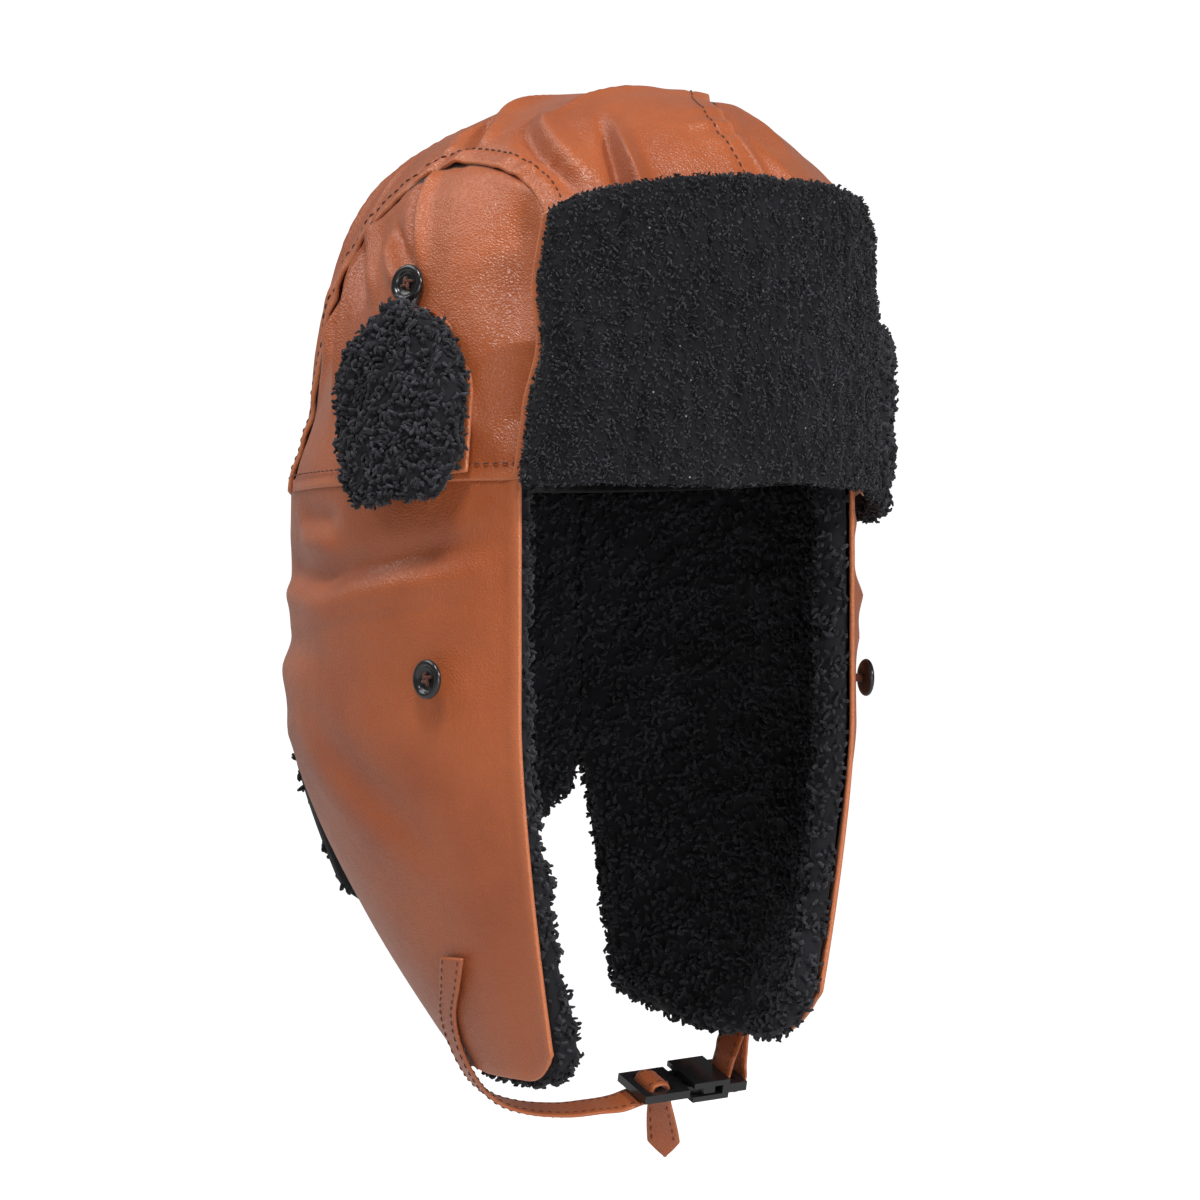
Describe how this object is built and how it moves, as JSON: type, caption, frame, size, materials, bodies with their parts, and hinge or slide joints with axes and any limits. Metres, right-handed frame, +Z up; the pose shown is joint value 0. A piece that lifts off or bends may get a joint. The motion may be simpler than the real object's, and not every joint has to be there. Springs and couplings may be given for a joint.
{
  "type": "trapper hat",
  "caption": "Leather trapper hat with sherpa-lined ear, nape and brow flaps, buttoned ear tabs and a chin strap closed by a side-release buckle.",
  "frame": {"origin": "centre of the head opening, level with the seam where the crown meets the flaps", "axes": "+Z up out of the crown, -Y to the front where the brow flap stands, +X to the wearer's left"},
  "size_m": [0.2064, 0.2474, 0.3714],
  "materials": {
    "leather": "satin tan faux leather",
    "sherpa": "curly black sherpa pile",
    "satin": "smooth black lining cloth",
    "loop": "black elastic cord",
    "button": "glossy black",
    "thread": "rust polyester thread",
    "buckle": "glossy black"
  },
  "bodies": {
    "crown": {"top_panel": "leather", "side_panel_right": "leather", "side_panel_left": "leather", "crown_lining": "satin", "sweatband": "satin", "right_upper_button": "button", "right_upper_button_thread": "thread", "left_upper_button": "button", "left_upper_button_thread": "thread"},
    "front_flap": {"front_flap_leather": "leather", "front_flap_sherpa": "sherpa"},
    "right_tab": {"right_tab_leather": "leather", "right_tab_sherpa": "sherpa", "right_tab_loop": "loop"},
    "left_tab": {"left_tab_leather": "leather", "left_tab_sherpa": "sherpa", "left_tab_loop": "loop"},
    "right_ear_flap": {"right_ear_flap_leather": "leather", "right_ear_flap_sherpa": "sherpa", "right_lower_button": "button", "right_lower_button_thread": "thread"},
    "left_ear_flap": {"left_ear_flap_leather": "leather", "left_ear_flap_sherpa": "sherpa", "left_lower_button": "button", "left_lower_button_thread": "thread", "socket_strap": "leather", "buckle_socket": "buckle"},
    "nape_flap": {"nape_flap_leather": "leather", "nape_flap_sherpa": "sherpa"},
    "strap": {"chin_strap": "leather", "buckle_plug": "buckle"},
    "prong_front": {"buckle_prong_front": "buckle"},
    "prong_rear": {"buckle_prong_rear": "buckle"}
  },
  "joints": [
    {"name": "front_flap_fold", "type": "hinge", "parent": "crown", "child": "front_flap", "pos_m": [0, -0.112, 0], "axis": [1, 0, 0], "range_deg": [0, 125]},
    {"name": "right_tab_fold", "type": "hinge", "parent": "crown", "child": "right_tab", "pos_m": [-0.08955, -0.04439, -0.001], "axis": [-0.3937, 0.9192, 0], "range_deg": [-150, 0]},
    {"name": "left_tab_fold", "type": "hinge", "parent": "crown", "child": "left_tab", "pos_m": [0.08955, -0.04439, -0.001], "axis": [-0.3937, -0.9192, 0], "range_deg": [-150, 0]},
    {"name": "right_ear_flap_fold", "type": "hinge", "parent": "crown", "child": "right_ear_flap", "pos_m": [-0.1, 0, -0.0005], "axis": [0, 1, 0], "range_deg": [0, 150]},
    {"name": "left_ear_flap_fold", "type": "hinge", "parent": "crown", "child": "left_ear_flap", "pos_m": [0.1, 0, -0.0005], "axis": [0, -1, 0], "range_deg": [0, 150]},
    {"name": "nape_flap_fold", "type": "hinge", "parent": "crown", "child": "nape_flap", "pos_m": [0, 0.12, 0], "axis": [1, 0, 0], "range_deg": [0, 150]},
    {"name": "buckle_release", "type": "slide", "parent": "right_ear_flap", "child": "strap", "axis": [-0.9976, 0, -0.0698], "range_m": [0, 0.028]},
    {"name": "prong_front_flex", "type": "hinge", "parent": "strap", "child": "prong_front", "pos_m": [0.03299, -0.01917, -0.20909], "axis": [-0.0656, -0.342, 0.9374], "range_deg": [0, 8], "stiffness_Nm_per_rad": 0.02},
    {"name": "prong_rear_flex", "type": "hinge", "parent": "strap", "child": "prong_rear", "pos_m": [0.03272, -0.00883, -0.20534], "axis": [-0.0656, -0.342, 0.9374], "range_deg": [-8, 0], "stiffness_Nm_per_rad": 0.02}
  ],
  "couplings": [
    {"joint": "prong_rear_flex", "follows": "prong_front_flex", "ratio": -1}
  ]
}
